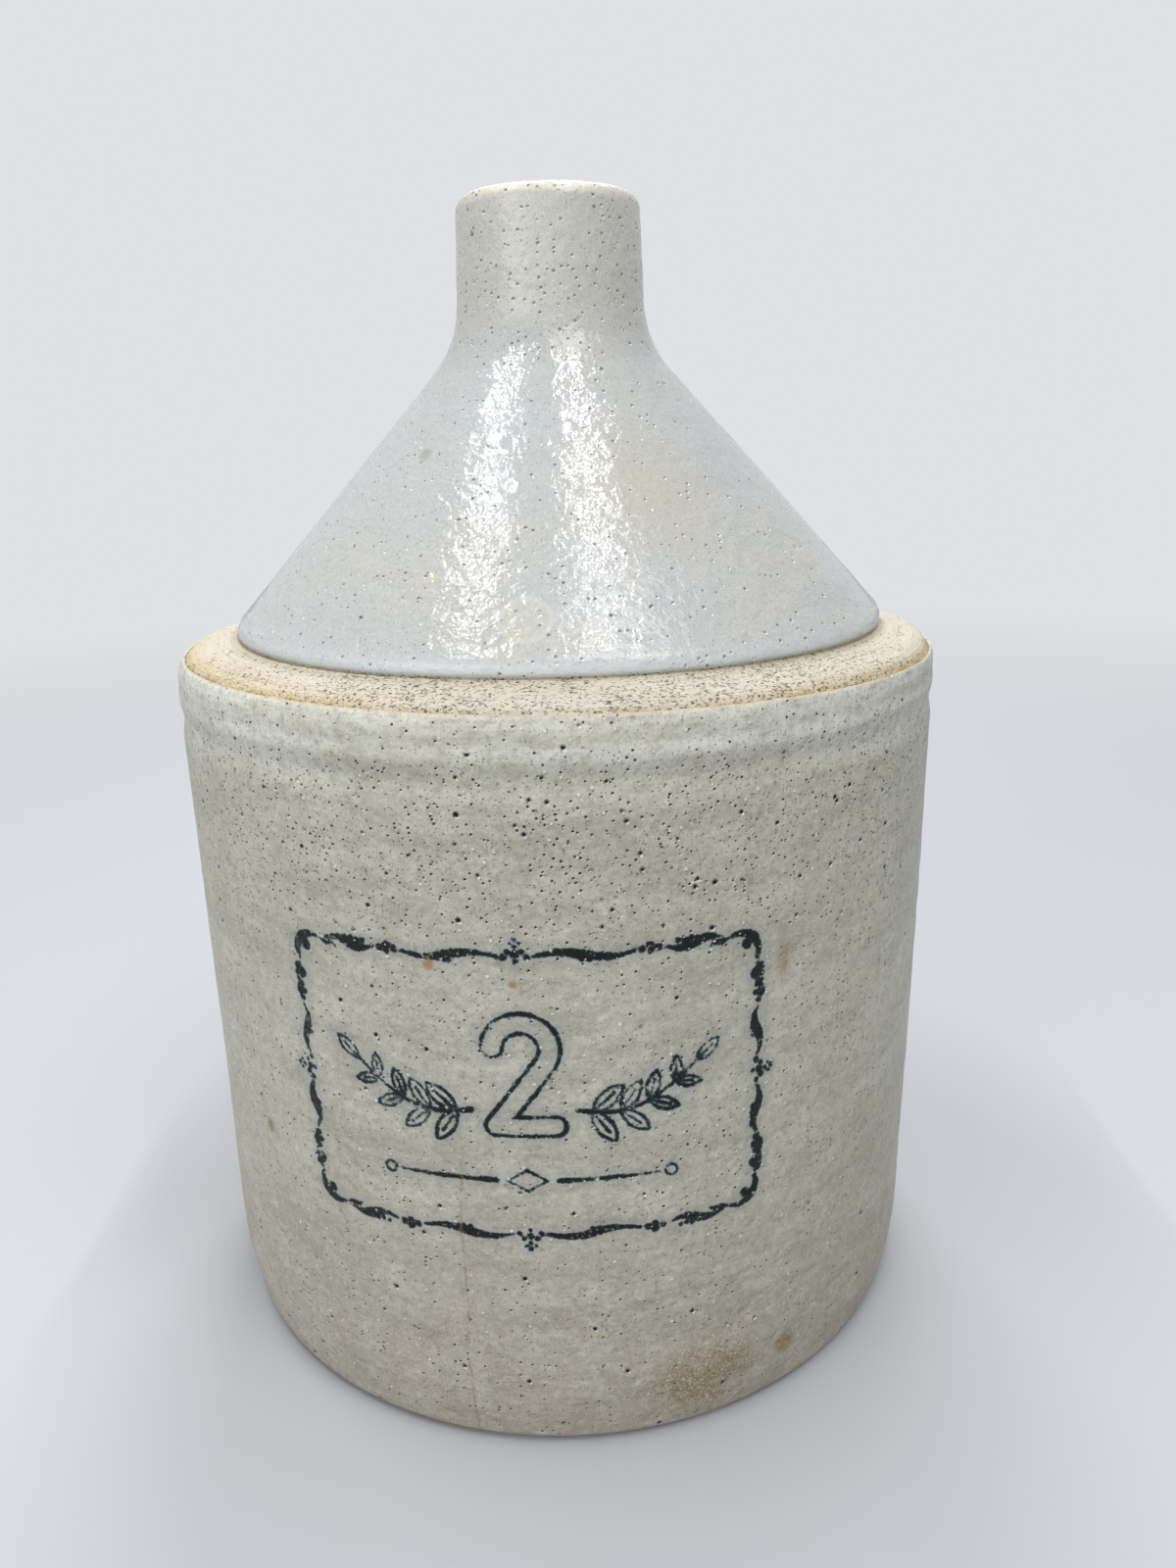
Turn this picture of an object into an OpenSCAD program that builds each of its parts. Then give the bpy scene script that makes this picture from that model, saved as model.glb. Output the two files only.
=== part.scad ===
// Shouldered stoneware jug. A straight-sided pot with a bare ledge carries a
// glazed cone that draws in to a short neck. A strap handle joins the neck to
// the cone at the back, and a cork closes the mouth. Lengths are millimetres.
// The origin is the centre of the base, +Z is up and the handle is towards +Y.

/* [Pot] */
// Outside diameter of the pot at its widest, glaze included
pot_d = 229; // [195:1:270]
// Height from the base to the seat of the shoulder
pot_h = 211; // [170:1:245]
// Thickness of the clay wall
pot_wall = 8; // [6:0.5:10]
// Thickness of the clay floor
floor_t = 10; // [7:0.5:14]
// How much smaller the radius is above the foot than under the band
wall_draft = 0.8; // [0:0.1:3]
// Radius of the long curve above the foot
foot_sweep_r = 90; // [25:1:120]
// Angle that the long curve turns through
foot_sweep_turn = 14; // [8:1:24]
// Radius of the foot's rounded edge
foot_edge_r = 5; // [3:0.5:7]
// Radius of the corner between the floor and the wall, inside
floor_corner_r = 12; // [6:1:18]

/* [Ledge] */
// Width from the foot of the shoulder to the side of the pot
ledge_w = 17.4; // [12:0.1:22]
// How far the ledge falls from the seat to its edge
ledge_drop = 2.6; // [0.6:0.2:4]
// Thickness of the clay under the ledge
ledge_t = 9; // [7:0.5:12]
// Radius of the outer edge of the ledge
ledge_edge_r = 4.5; // [3:0.5:6]
// Radius of the turn from the wall to the underside of the ledge
ledge_turn_r = 10; // [6:1:14]
// Height of the rolled band under the ledge
band_h = 14; // [8:1:20]
// Depth of the groove that ends the band
groove_depth = 0.8; // [0.3:0.1:1.2]
// Radius of that groove
groove_r = 7; // [4:1:10]

/* [Shoulder and neck] */
// Height of the whole jug, without the cork
jug_h = 331; // [310:1:360]
// Height of the neck, from the lip to where its side would meet the cone
neck_h = 38.4; // [30:0.1:46]
// Outside diameter of the neck, glaze included
neck_d = 54; // [50:1:62]
// How much smaller the radius is at the lip than at the bottom of the neck
neck_narrow = 0.7; // [0:0.1:1.5]
// Thickness of the clay of the cone
shoulder_wall = 7; // [5:0.5:9]
// Height of the upright edge at the foot of the cone
shoulder_edge_h = 4.1; // [2.6:0.1:5]
// Radius that rounds that edge into the cone
shoulder_edge_r = 3; // [2:0.5:6]
// Radius of the sweep from the cone into the neck
sweep_r = 30; // [15:1:40]
// Radius of the same turn inside
inner_sweep_r = 13; // [8:1:16]
// Radius of the outer edge of the lip
lip_r = 4.4; // [1.5:0.1:5]

/* [Mouth and cork] */
// Diameter of the mouth at the top
mouth_d = 30; // [25:0.5:32]
// How much smaller the radius is at the bottom of the mouth
mouth_narrow = 1; // [0.5:0.1:1.5]
// Radius of the inner edge of the lip
mouth_edge_r = 2; // [1.2:0.1:3]
// Length of the cork
cork_len = 25; // [15:1:28]
// How far the cork stands out of the mouth
cork_proud = 1.2; // [0.4:0.1:3]
// Clearance between the cork and the mouth
cork_gap = 0.3; // [0.2:0.05:0.5]
// Size of the bevel on the ends of the cork
cork_bevel = 0.8; // [0.3:0.1:1.5]

/* [Coats and slip] */
// Thickness of the glaze outside
glaze_t = 0.8; // [0.5:0.1:1.2]
// Thickness of the lining inside
lining_t = 0.6; // [0.4:0.1:1]
// Height of the bare clay at the bottom of the foot
bare_foot_h = 1.4; // [1:0.1:2.4]
// Angle round the edge of the ledge at which the glaze stops
glaze_stop = 20; // [5:1:40]
// Bare height between the ledge and the glaze of the cone
glaze_lift = 0.6; // [0.3:0.1:1.2]
// Thickness of the slip in the seat
slip_t = 1; // [0.6:0.1:1.6]
// Height of the bead of slip on the inside
slip_bead_h = 4; // [2.6:0.2:5]
// How far the bead stands in from the wall
slip_bead_w = 1; // [0.5:0.1:1.4]
// How far the slip stays back from the outside of the clay
slip_back = 1.6; // [1:0.2:4]

/* [Handle] */
// Width of the strap
handle_w = 29; // [22:1:34]
// Thickness of the strap
handle_t = 10; // [7:0.5:13]
// How far the middle of the strap stands out from the neck
handle_reach = 42; // [34:1:46]
// Distance from the lip down to the middle of the strap's upper end
handle_below_lip = 16; // [13:1:20]
// Distance from the axis to the middle of the strap's lower end
handle_foot_out = 62; // [54:1:70]

/* [Hidden] */
// Steps in a quarter turn of an arc
arc_steps = 12;
// Facets of a quick preview of a turned body
preview_facets = 96;

// Finished radii
pot_r = pot_d / 2;
foot_r = pot_r - wall_draft;
shoulder_r = pot_r - ledge_w;
neck_r = neck_d / 2;
lip_out = neck_r - neck_narrow;
mouth_r = mouth_d / 2;
mouth_low_r = mouth_r - mouth_narrow;

// Heights on the pot
foot_edge_x = foot_r - foot_sweep_r + (foot_sweep_r - foot_edge_r) * cos(foot_sweep_turn);
foot_top = foot_edge_r + (foot_sweep_r - foot_edge_r) * sin(foot_sweep_turn);
foot_bare_to = asin(1 - bare_foot_h / foot_edge_r);
edge_clay_r = ledge_edge_r - glaze_t;
edge_z = pot_h - ledge_drop - edge_clay_r;
groove_half = acos(1 - groove_depth / groove_r);
groove_z = edge_z - band_h;
under_z = pot_h - ledge_drop - ledge_t;

// The seat is flat to just past the foot of the shoulder
seat_out = shoulder_r + glaze_lift;

// Slope of the ledge: the line from the seat that touches its rounded edge
edge_x = pot_r - ledge_edge_r;
edge_far = norm([edge_x - seat_out, pot_h - edge_z]);
ledge_slope = atan2(pot_h - edge_z, edge_x - seat_out) - asin(edge_clay_r / edge_far);

// The cone: the angle of its side from upright, and its two corners
cone_low = pot_h + shoulder_edge_h;
cone_top = jug_h - neck_h;
cone_angle = atan2(shoulder_r - neck_r, cone_top - cone_low);
half_turn = tan(cone_angle / 2);
sweep_z = cone_top + sweep_r * half_turn;

// The rounding at the foot of the cone stays on its upright edge
edge_room_share = 0.9;
cone_edge_r = min(shoulder_edge_r, edge_room_share * (shoulder_edge_h - glaze_lift) / half_turn);

// The throat, where the pot opens into the shoulder
cone_depth = (glaze_t + shoulder_wall) / cos(cone_angle);
throat_edge_share = 0.33;
throat_r = shoulder_r - cone_depth - slip_bead_w;
throat_edge_r = ledge_t * throat_edge_share;

// The turn inside, from the cone into the mouth
bore_low_r = mouth_low_r + lining_t;
inner_turn_z = cone_z(bore_low_r, cone_depth) + inner_sweep_r * half_turn;

// The bead of slip is a slice of a circle
bead_r = (pow(slip_bead_h / 2, 2) + pow(slip_bead_w, 2)) / (2 * slip_bead_w);
bead_x = throat_r - slip_bead_w + bead_r;
bead_z = pot_h - slip_t / 2;

// The strap: its ends start inside the clay, and its bow follows from them.
// The bow's two guide points are shares of the reach outwards and of the
// height between the ends.
handle_root_share = 0.5;
handle_sink_share = 0.6;
handle_upper_shares = [0.86, 1.2];
handle_lower_shares = [1.26, 0.62];
// How much wider the ends are, and how quickly that fades along the strap
handle_flare_share = 0.22;
handle_flare_power = 6;
// Power of the strap's section: 1 is an ellipse, less is squarer
handle_square = 0.66;
handle_rings = 40;
handle_sides = 28;
handle_start = [neck_r * handle_root_share, jug_h - handle_below_lip];
handle_sink = handle_t * handle_sink_share;
handle_land = [handle_foot_out, cone_z(handle_foot_out, 0)];
handle_end = handle_land - handle_sink * [cos(cone_angle), sin(cone_angle)];
handle_path = [
    handle_start,
    bow_point(handle_upper_shares),
    bow_point(handle_lower_shares),
    handle_end
];

// Points of an arc, from one angle to another
function arc(x, z, r, from, to) =
    let (n = max(2, ceil(arc_steps * abs(to - from) / 90)))
    [for (i = [0:n]) let (a = from + (to - from) * i / n) [x + r * cos(a), z + r * sin(a)]];

// The same points in the other order
function backwards(points) = [for (i = [len(points) - 1:-1:0]) points[i]];

// Height at which the side of the cone, or a surface in behind it, has a radius
function cone_z(radius, behind) = cone_low + (shoulder_r - behind - radius) / tan(cone_angle);

// Foot of the pot below its glaze, at a depth under the finished surface
function foot_bare(depth) = arc(foot_edge_x - depth, foot_edge_r, foot_edge_r, -90, -foot_bare_to);

// Foot of the pot from there up to the wall
function foot_glazed(depth) =
    concat(
        arc(foot_edge_x - depth, foot_edge_r, foot_edge_r, -foot_bare_to, -foot_sweep_turn),
        arc(foot_r - foot_sweep_r - depth, foot_top, foot_sweep_r, -foot_sweep_turn, 0)
    );

// Side of the pot above the foot, up to where its glaze stops
function pot_side(depth) =
    concat(
        arc(
            pot_r - groove_depth + groove_r, groove_z, groove_r + depth,
            180 + groove_half, 180 - groove_half
        ),
        arc(edge_x, edge_z, ledge_edge_r - depth, 0, glaze_stop)
    );

// Bare ledge, from where the glaze stops to the flat seat
function ledge_top() =
    concat(arc(edge_x, edge_z, edge_clay_r, glaze_stop, 90 - ledge_slope), [[seat_out, pot_h]]);

// Inside of the pot from the centre of the floor to the throat
function pot_inside(depth) =
    let (
        low = foot_r - glaze_t - pot_wall,
        top = pot_r - glaze_t - pot_wall
    )
    concat(
        [[0, floor_t + depth]],
        arc(low - floor_corner_r, floor_t + floor_corner_r, floor_corner_r - depth, -90, 0),
        arc(top - ledge_turn_r, under_z - ledge_turn_r, ledge_turn_r - depth, 0, 90),
        arc(throat_r + throat_edge_r, under_z + throat_edge_r, throat_edge_r + depth, -90, -180)
    );

// Bead of slip on the wall of the throat
function bead_inside(depth) =
    let (half = acos((bead_r - slip_bead_w + depth) / (bead_r + depth)))
    arc(bead_x, bead_z, bead_r + depth, 180 + half, 180 - half);

// Inside of the cone, and the turn into the mouth
function cone_inside(depth) =
    let (behind = cone_depth + depth / cos(cone_angle))
    concat(
        [[throat_r - depth, cone_z(throat_r - depth, behind)]],
        arc(
            bore_low_r + inner_sweep_r, inner_turn_z, inner_sweep_r + depth,
            180 + cone_angle, 180
        )
    );

// Top of the mouth's straight taper
function mouth_top(depth) = [[mouth_r + lining_t - depth, jug_h - mouth_edge_r]];

// Outside of the cone and the neck, from the foot to the inner edge of the lip
function shoulder_outside(depth) =
    concat(
        arc(
            shoulder_r - cone_edge_r, cone_low - cone_edge_r * half_turn,
            cone_edge_r - depth, 0, cone_angle
        ),
        arc(neck_r + sweep_r, sweep_z, sweep_r + depth, 180 + cone_angle, 180),
        arc(lip_out - lip_r, jug_h - lip_r, lip_r - depth, 0, 90),
        arc(mouth_r + mouth_edge_r, jug_h - mouth_edge_r, mouth_edge_r - depth, 90, 180)
    );

// A body turned from points of radius and height
module turned(points) {
    rotate_extrude($fn = preview_facets) polygon(points);
}

// Guide point of the strap's bow, from its shares
function bow_point(shares) =
    [neck_r, handle_end[1]]
    + [handle_reach * shares[0], (handle_start[1] - handle_end[1]) * shares[1]];

// Point on the middle line of the strap, out from the axis and up
function strap_at(t) =
    let (u = 1 - t, p = handle_path)
    p[0] * u * u * u + p[1] * 3 * u * u * t + p[2] * 3 * u * t * t + p[3] * t * t * t;

// Direction of that line
function strap_along(t) =
    let (
        u = 1 - t,
        p = handle_path,
        d = (p[1] - p[0]) * u * u + (p[2] - p[1]) * 2 * u * t + (p[3] - p[2]) * t * t
    )
    d / norm(d);

// Sign and power of a number, for the strap's squared section
function squared(v) = sign(v) * pow(abs(v), handle_square);

// One section of the strap, square to its line and wider at both ends
function strap_ring(t) =
    let (
        middle = strap_at(t),
        along = strap_along(t),
        flare = pow(1 - t, handle_flare_power) + pow(t, handle_flare_power),
        grow = 1 + handle_flare_share * flare
    )
    [for (i = [0:handle_sides - 1])
        let (
            a = 360 * i / handle_sides,
            side = handle_w / 2 * grow * squared(cos(a)),
            out = handle_t / 2 * grow * squared(sin(a))
        )
        [side, middle[0] - along[1] * out, middle[1] + along[0] * out]];

// The whole strap before it is fitted to the clay
module strap() {
    rings = [for (k = [0:handle_rings]) strap_ring(k / handle_rings)];
    points = [for (ring = rings) each ring];
    n = handle_sides;
    last = handle_rings * n;
    polyhedron(
        points,
        concat(
            [[for (i = [0:n - 1]) i]],
            [for (k = [0:handle_rings - 1], i = [0:n - 1])
                let (a = k * n + i, b = k * n + (i + 1) % n)
                [a, a + n, b + n, b]],
            [[for (i = [n - 1:-1:0]) last + i]]
        ),
        convexity = 4
    );
}

// Clay pot: floor, foot, wall and the ledge with its seat
module pot_body() {
    color("#c9b99a")
    turned(concat(
        [[0, 0]],
        foot_bare(glaze_t),
        foot_glazed(glaze_t),
        pot_side(glaze_t),
        ledge_top(),
        [
            [shoulder_r - glaze_t - slip_back, pot_h],
            [shoulder_r - glaze_t - slip_back, pot_h - slip_t],
            [throat_r, pot_h - slip_t]
        ],
        backwards(pot_inside(0))
    ));
}

// Slip that joins the shoulder to the seat, smoothed to a bead inside
module luting_slip() {
    color("#b5a07c")
    turned(concat(
        [
            [throat_r, pot_h - slip_t],
            [shoulder_r - glaze_t - slip_back, pot_h - slip_t],
            [shoulder_r - glaze_t - slip_back, pot_h],
            [throat_r, pot_h]
        ],
        backwards(bead_inside(0))
    ));
}

// Clay shoulder: cone, sweep, neck and lip, with the tapered mouth through it
module shoulder_neck() {
    color("#d4c7ab")
    turned(concat(
        [[throat_r, pot_h], [shoulder_r - glaze_t, pot_h]],
        shoulder_outside(glaze_t),
        mouth_top(0),
        backwards(cone_inside(0))
    ));
}

// All the space that the glazed shoulder closes in
module shoulder_core() {
    turned(concat(
        [[0, pot_h + glaze_lift], [shoulder_r, pot_h + glaze_lift]],
        shoulder_outside(0),
        [[0, jug_h - mouth_edge_r]]
    ));
}

// Strap handle, with both ends shaped to the neck and the cone
module strap_handle() {
    color("#cfd2d0")
    difference() {
        strap();
        shoulder_core();
    }
}

// Glaze outside the pot, from above the foot to the edge of the ledge
module pot_glaze() {
    color("#b9b4a6")
    turned(concat(
        foot_glazed(0),
        pot_side(0),
        backwards(pot_side(glaze_t)),
        backwards(foot_glazed(glaze_t))
    ));
}

// Glaze over the cone, the neck and the lip
module shoulder_glaze() {
    color("#dfe3e4")
    turned(concat(
        [[shoulder_r - glaze_t, pot_h + glaze_lift], [shoulder_r, pot_h + glaze_lift]],
        shoulder_outside(0),
        backwards(shoulder_outside(glaze_t))
    ));
}

// Lining poured round the inside, from the floor to the lip
module inner_lining() {
    color("#5a3a22")
    turned(concat(
        pot_inside(0),
        bead_inside(0),
        cone_inside(0),
        mouth_top(0),
        mouth_top(lining_t),
        backwards(cone_inside(lining_t)),
        backwards(bead_inside(lining_t)),
        backwards(pot_inside(lining_t))
    ));
}

// Cork with the taper of the mouth, driven in nearly flush
module cork_stopper() {
    taper = mouth_narrow / (jug_h - mouth_edge_r - inner_turn_z);
    top = jug_h + cork_proud;
    top_r = mouth_r - cork_gap + taper * (mouth_edge_r + cork_proud);
    low_r = top_r - taper * cork_len;
    color("#b98a5a")
    turned([
        [0, top - cork_len],
        [low_r - cork_bevel, top - cork_len],
        [low_r, top - cork_len + cork_bevel],
        [top_r, top - cork_bevel],
        [top_r - cork_bevel, top],
        [0, top]
    ]);
}

pot_body();
luting_slip();
shoulder_neck();
strap_handle();
pot_glaze();
shoulder_glaze();
inner_lining();
cork_stopper();
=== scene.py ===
# %% [markdown]
# A shouldered stoneware jug: a straight pot with a bare ledge, a glazed cone on
# it, a short neck, a strap handle at the back and a cork.
# The pieces that carry and fit each other were made first, at their real size.
# Here they get their surfaces: thrown clay that is never quite round, glaze with
# pinholes, a printed frame, and a worn cork. Lengths are metres, +Z is up, the
# handle is towards +Y and the printed side towards -Y.

# %% Open the frame
import math

import bpy
import numpy as np
from mathutils import Matrix, Vector


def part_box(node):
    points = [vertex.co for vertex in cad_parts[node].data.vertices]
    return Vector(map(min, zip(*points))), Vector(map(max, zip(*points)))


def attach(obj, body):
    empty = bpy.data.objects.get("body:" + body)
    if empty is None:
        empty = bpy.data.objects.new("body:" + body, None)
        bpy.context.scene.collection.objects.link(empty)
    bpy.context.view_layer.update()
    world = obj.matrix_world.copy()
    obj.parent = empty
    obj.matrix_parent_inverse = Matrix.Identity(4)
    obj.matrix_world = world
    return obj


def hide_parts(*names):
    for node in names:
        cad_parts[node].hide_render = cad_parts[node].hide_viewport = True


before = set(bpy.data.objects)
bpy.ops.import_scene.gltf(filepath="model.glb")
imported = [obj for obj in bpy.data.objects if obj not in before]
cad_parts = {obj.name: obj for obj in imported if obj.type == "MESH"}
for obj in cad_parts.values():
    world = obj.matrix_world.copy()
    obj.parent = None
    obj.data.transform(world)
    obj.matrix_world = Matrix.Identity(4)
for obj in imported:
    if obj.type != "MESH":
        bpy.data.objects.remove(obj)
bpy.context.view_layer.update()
MM = 0.001
print("pieces in the frame:", sorted(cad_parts))

# %% [markdown]
# A turned piece is known by its outline, so the sizes below are radii and
# heights of the finished surface. The widest radius, the height and the foot of
# the cone are measured on the frame. The rest are the potter's own sizes.

# %% Measure the jug
wall_low, wall_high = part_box("pot_glaze")
coat_low, coat_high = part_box("shoulder_glaze")
cork_low, cork_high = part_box("cork_stopper")
_, strap_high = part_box("strap_handle")

coat_gap = 0.6 * MM
pot_radius = wall_high.x
cone_radius = coat_high.x
jug_height = coat_high.z
seat_height = coat_low.z - coat_gap
print("pot radius", round(pot_radius, 4), "cone radius", round(cone_radius, 4))
print("jug height", round(jug_height, 4), "seat height", round(seat_height, 4))
print("glaze from", round(wall_low.z, 4), "up, handle", round(strap_high.y, 4), "to the back")

# %% Sizes of the pot
wall_draft = 0.8 * MM
clay_wall = 8 * MM
foot_sweep = 90 * MM
foot_sweep_turn = math.radians(14)
foot_edge = 5 * MM
ledge_edge = 7 * MM
edge_tall = 1.4
ledge_drop = 2.4 * MM
ledge_thickness = 9.2 * MM
groove_depth = 0.8 * MM
groove_half = 6 * MM
hollow_depth = 0.3 * MM
hollow_rise = 9.5 * MM
hollow_half = 2.2 * MM
band_height = 9.2 * MM
glaze_stop_angle = 48
bare_start_angle = 12
glaze = 0.8 * MM
lining = 0.6 * MM
bare_foot = 1.4 * MM
floor_thickness = 10 * MM
floor_corner = 12 * MM

foot_radius = pot_radius - wall_draft
foot_edge_radius = foot_radius - foot_sweep + (foot_sweep - foot_edge) * math.cos(foot_sweep_turn)
foot_top = foot_edge + (foot_sweep - foot_edge) * math.sin(foot_sweep_turn)
edge_radius = pot_radius - ledge_edge
edge_height = seat_height - ledge_drop - (ledge_edge - glaze) * edge_tall
groove_height = edge_height - band_height
groove_low = groove_height - groove_half
under_ledge = seat_height - ledge_drop - ledge_thickness
print("groove", round(groove_height, 4), "up, edge of the ledge from", round(edge_height, 4))

# %% Sizes of the cone and the neck
neck_radius = 27 * MM
neck_height = 38.4 * MM
lip_radius = neck_radius - 0.7 * MM
lip_edge = 4.4 * MM
mouth_radius = 15 * MM
mouth_low_radius = 14 * MM
mouth_edge = 2 * MM
sweep_radius = 30 * MM
cone_edge = 5.5 * MM
cone_wall = 7 * MM
cone_upright = 4.1 * MM
throat_step = 1 * MM

cone_low = seat_height + cone_upright
cone_top = jug_height - neck_height
cone_angle = math.atan2(cone_radius - neck_radius, cone_top - cone_low)
half_turn = math.tan(cone_angle / 2)
sweep_height = cone_top + sweep_radius * half_turn
cone_depth = (glaze + cone_wall) / math.cos(cone_angle)
cone_turn = math.degrees(cone_angle)
throat_radius = cone_radius - cone_depth - throat_step
print("the cone leans", round(cone_turn, 2), "degrees from upright")


def cone_reach(height):
    """Radius of the cone at a height."""
    return cone_radius - (height - cone_low) * math.tan(cone_angle)


def cone_height(radius, depth=0.0):
    """Height at which the cone, or a cone at a depth inside it, has a radius."""
    return cone_low + (cone_radius - depth - radius) / math.tan(cone_angle)


# %% [markdown]
# The camera stands where the photograph was taken: close, a little above the
# ledge, looking down. Its place was found by fitting the jug's outline in the
# photograph, which is 1200 pixels wide and 1600 high, to the jug's real size.
# A focal length in pixels becomes a lens once the longer side has a length.

# %% Place the camera
photo_height = 1600
film_height = 36
focal_pixels = 1188
camera_place = Vector((0.00865, -0.3651, 0.2673))
camera_down = math.radians(16.92)
camera_roll = math.radians(-1.313)

turn = Matrix.Rotation(math.pi / 2 - camera_down, 3, "X") @ Matrix.Rotation(camera_roll, 3, "Z")
bpy.ops.object.camera_add(location=camera_place, rotation=turn.to_euler())
camera = bpy.context.object
camera.data.lens = focal_pixels / photo_height * film_height
camera.data.clip_start = 0.01
bpy.context.scene.camera = camera
print("lens", round(camera.data.lens, 2), "mm")

# %% [markdown]
# Shader maths reads best as plain sums, so one small class wraps a socket and
# lets Python's operators add the Math nodes. Everything else, such as a noise or
# a mix of two colours, comes from its one method, node.

# %% A value on its way through a material
class Wire:
    """A socket that Python's operators can work with."""

    def __init__(self, tree, socket=None):
        self.tree = tree
        self.socket = socket

    def node(self, kind, settings=None, inputs=None, output=0):
        """Adds a shader node, with its settings first and then its sockets."""
        made = self.tree.nodes.new("ShaderNode" + kind)
        for name, value in (settings or {}).items():
            setattr(made, name, value)
        for name, value in (inputs or {}).items():
            if isinstance(value, Wire):
                self.tree.links.new(value.socket, made.inputs[name])
            else:
                made.inputs[name].default_value = value
        return Wire(self.tree, made.outputs[output])

    def also(self, output):
        """Another output of the same node."""
        return Wire(self.tree, self.socket.node.outputs[output])

    def math(self, operation, *values):
        return self.node("Math", {"operation": operation}, dict(enumerate(values)))

    def __add__(self, other):
        return self.math("ADD", self, other)

    def __sub__(self, other):
        return self.math("SUBTRACT", self, other)

    def __rsub__(self, other):
        return self.math("SUBTRACT", other, self)

    def __mul__(self, other):
        return self.math("MULTIPLY", self, other)

    def __truediv__(self, other):
        return self.math("DIVIDE", self, other)

    def __abs__(self):
        return self.math("ABSOLUTE", self)

    __radd__ = __add__
    __rmul__ = __mul__


# %% Colours, masks and noise
def dye(text):
    """A colour written as six hex digits, turned into the linear light a socket takes."""
    parts = [int(text[i:i + 2], 16) / 255 for i in (0, 2, 4)]
    linear = [p / 12.92 if p <= 0.04045 else ((p + 0.055) / 1.055) ** 2.4 for p in parts]
    return (*linear, 1.0)


def between(value, start, end):
    """Rises smoothly from 0 at start to 1 at end, which may be the smaller of the two."""
    inputs = {"Value": value, "From Min": start, "From Max": end}
    return value.node("MapRange", {"interpolation_type": "SMOOTHSTEP"}, inputs)


def coat(mask, under, over):
    """The colour over where the mask is 1, and the colour under where it is 0."""
    return mask.node("Mix", {"data_type": "RGBA"}, {0: mask, 6: under, 7: over}, 2)


def layers(colour, *coats):
    """A colour under one coat after another, each a mask and its dye."""
    for mask, text in coats:
        colour = coat(mask, colour, dye(text))
    return colour


def clouds(where, size, seed, detail=2.0, roughness=0.5):
    """Soft noise from 0 to 1, whose patches are about size metres across."""
    inputs = {"Vector": where, "W": seed, "Scale": 1 / size}
    inputs.update({"Detail": detail, "Roughness": roughness})
    return where.node("TexNoise", {"noise_dimensions": "4D"}, inputs)


# %% Places and directions
RIGHT, BACK, UP = range(3)
high_side = (-0.77, -0.64, 0)


def part_of(where, axis):
    """One coordinate of a place."""
    return where.node("SeparateXYZ", None, {0: where}, axis)


def vector(operation, where, other=None, output=0):
    """One step of vector maths, whose output 0 is a vector and 1 a number."""
    inputs = {0: where} if other is None else {0: where, 1: other}
    return where.node("VectorMath", {"operation": operation}, inputs, output)


def stretch(where, amounts):
    """Coordinates scaled along X, Y and Z."""
    return vector("MULTIPLY", where, amounts)


def radius_of(where):
    return vector("LENGTH", stretch(where, (1, 1, 0)), None, 1)


def way_out(where):
    """The level direction away from the axis."""
    return vector("NORMALIZE", stretch(where, (1, 1, 0)))


def facing(where):
    """1 on the side where the wall's glaze stands highest, the left of the
    print, and -1 on the side away from it."""
    return vector("DOT_PRODUCT", way_out(where), high_side, 1)


def turning(where, along, across):
    """Coordinates that follow the potter's wheel: long features along the turn, short ones across
    it, with no join anywhere."""
    ring = stretch(way_out(where), (along, along, 0))
    rise = (radius_of(where) - part_of(where, UP)) * across
    return vector("ADD", ring, where.node("CombineXYZ", None, {2: rise}))


# %% Dots and spots
def dots(where, ragged, spacing, radius, share, shift):
    """Dark dots, the wider dents that they sit in, and a mask on the lower rim of each, where the
    finishes paint light: a painted highlight below a pinhole, painted shade below a raised speck.
    A share of the points has one. A surface cuts through balls in space, so the dots differ in
    size."""
    def ball(right, down):
        place = (shift - right * radius, shift, shift + down * radius)
        moved = vector("ADD", where, place)
        near = moved.node("TexVoronoi", None, {"Vector": moved, "Scale": 1 / spacing})
        luck = near.node("SeparateColor", None, {0: near.also("Color")})
        edge = near * (spacing / radius) + (ragged - 0.5) * 1.4 - (luck.also(1) * 0.7 + 0.65)
        return edge, luck.math("LESS_THAN", luck, share)

    edge, kept = ball(0, 0)
    # The same dots moved down and right, whose mask carries the painted light on the lower rim.
    low_edge, low_kept = ball(0.45, 0.9)
    dark = between(edge, 0.16, -0.02) * kept
    rim = between(low_edge, 0.25, 0.0) * low_kept * (1.0 - dark)
    return dark, between(edge, 0.9, -0.3) * kept, rim


def away_from(where, azimuth, height, out):
    """Distance from one place on the jug, azimuth in degrees from the front,
    positive to the right as the camera sees it, and out from the axis."""
    angle = math.radians(azimuth)
    place = (out * math.sin(angle), -out * math.cos(angle), height)
    return vector("DISTANCE", where, place, 1)


def spot(where, azimuth, height, size, out=pot_radius):
    """A soft round patch at one place on the jug."""
    return between(away_from(where, azimuth, height, out), size, size * 0.3)


# %% How a finish is made and put on
def finish(name, make, **fixed):
    """A material: make gets the Object coordinates and returns what varies,
    and fixed holds the values that are the same all over."""
    material = bpy.data.materials.new(name)
    material.use_nodes = True
    tree = material.node_tree
    shader = tree.nodes["Principled BSDF"]
    for socket, value in fixed.items():
        shader.inputs[socket.replace("_", " ")].default_value = value
    where = Wire(tree).node("TexCoord", output="Object")
    made = make(where)
    if "relief" in made:
        relief = made.pop("relief")
        made["Normal"] = where.node("Bump", None, {"Distance": MM, "Height": relief})
    for socket, wire in made.items():
        tree.links.new(wire.socket, shader.inputs[socket])
    print("finish", name, "with", len(tree.nodes), "nodes")
    return material


def dress(piece, material):
    """Puts one material on a piece, also on a node of the frame."""
    if piece.material_slots:
        piece.material_slots[0].material = material
    else:
        piece.data.materials.append(material)


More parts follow.
